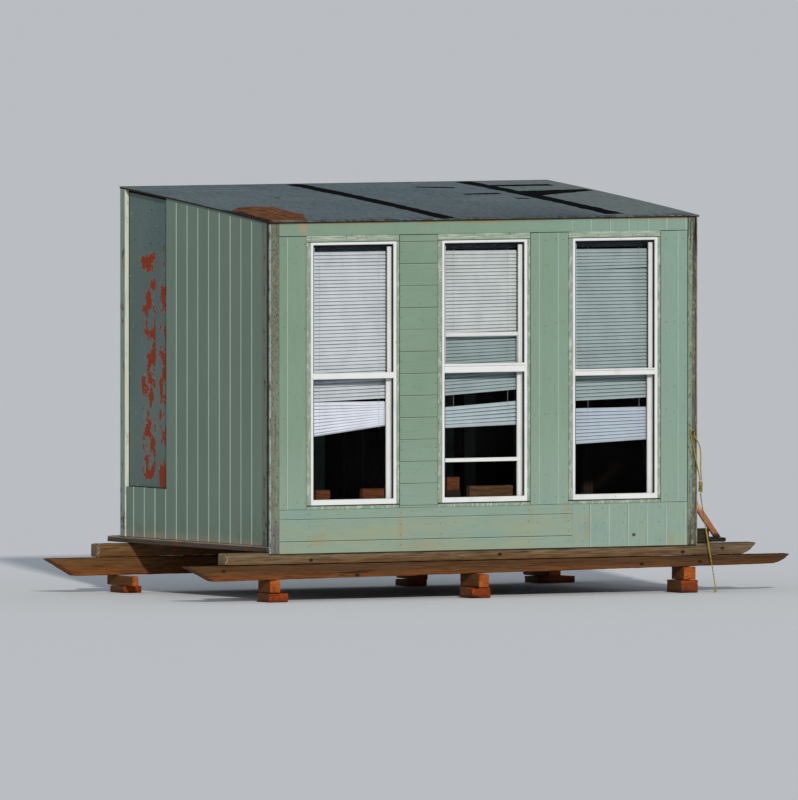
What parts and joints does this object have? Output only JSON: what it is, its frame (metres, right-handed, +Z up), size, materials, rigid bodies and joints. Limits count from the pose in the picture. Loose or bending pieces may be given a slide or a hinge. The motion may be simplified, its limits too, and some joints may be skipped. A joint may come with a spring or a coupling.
{
  "type": "ice fishing hut",
  "caption": "Boarded hut on two timber runners with hewn tips, standing on loose blocks, with sash windows along its front, a low single-pitch roof and a door at one end.",
  "frame": {"origin": "centre of the hut's footprint at ground level, midway along the runners", "axes": "+X along the hut to the right as seen from its window side, -Y the window side, +Z up"},
  "size_m": [4.226, 2.069, 2.4816],
  "materials": {
    "runner_wood": "weathered",
    "block_wood": "sawn",
    "dark_timber": "weathered",
    "frame_timber": "sawn",
    "green_boards": "old paint",
    "weathered_boards": "weathered, flaked paint",
    "white_wood": "old paint",
    "glass": "clear",
    "blind_slats": "satin",
    "deck_wood": "sheet",
    "roof_sheet": "painted roll covering",
    "scrap_wood": "weathered",
    "plank_wood": "sawn",
    "iron": "rusty",
    "rope": "twisted"
  },
  "bodies": {
    "root": {"front_runner": "runner_wood", "rear_runner": "runner_wood", "front_skid_beam": "runner_wood", "rear_skid_beam": "runner_wood", "upper_support_blocks": "block_wood", "lower_support_blocks": "block_wood", "side_sill_planks": "dark_timber", "front_and_rear_sills": "dark_timber", "step_board": "dark_timber", "floor_joists": "frame_timber", "floor_boards": "frame_timber", "panel_cleats": "frame_timber", "wall_top_plates": "frame_timber", "front_studs": "frame_timber", "rear_studs": "frame_timber", "side_bottom_plates": "frame_timber", "side_studs": "frame_timber", "wall_rails": "frame_timber", "rafters": "frame_timber", "front_bottom_boards": "green_boards", "front_bottom_patch": "green_boards", "front_top_board": "green_boards", "front_top_patch": "green_boards", "front_end_boards": "green_boards", "front_boards_between_windows": "green_boards", "left_wall_boards": "green_boards", "left_low_boards": "green_boards", "left_infill_panel": "green_boards", "rear_wall_boards": "green_boards", "right_wall_boards": "green_boards", "boards_over_door": "green_boards", "door_leaf": "green_boards", "window_casings": "green_boards", "front_corner_boards": "weathered_boards", "side_corner_boards": "weathered_boards", "window_frames": "white_wood", "upper_sashes": "white_wood", "lower_sashes": "white_wood", "window_panes": "glass", "window_blinds": "blind_slats", "roof_deck": "deck_wood", "roof_covering": "roof_sheet", "roof_scrap_board": "scrap_wood", "leaning_plank": "plank_wood", "door_hinges_and_hasp": "iron", "rope_nail": "iron", "rope_loop": "rope", "rope_knot": "rope", "rope_tail": "rope", "rope_end_knot": "rope"}
  },
  "joints": []
}
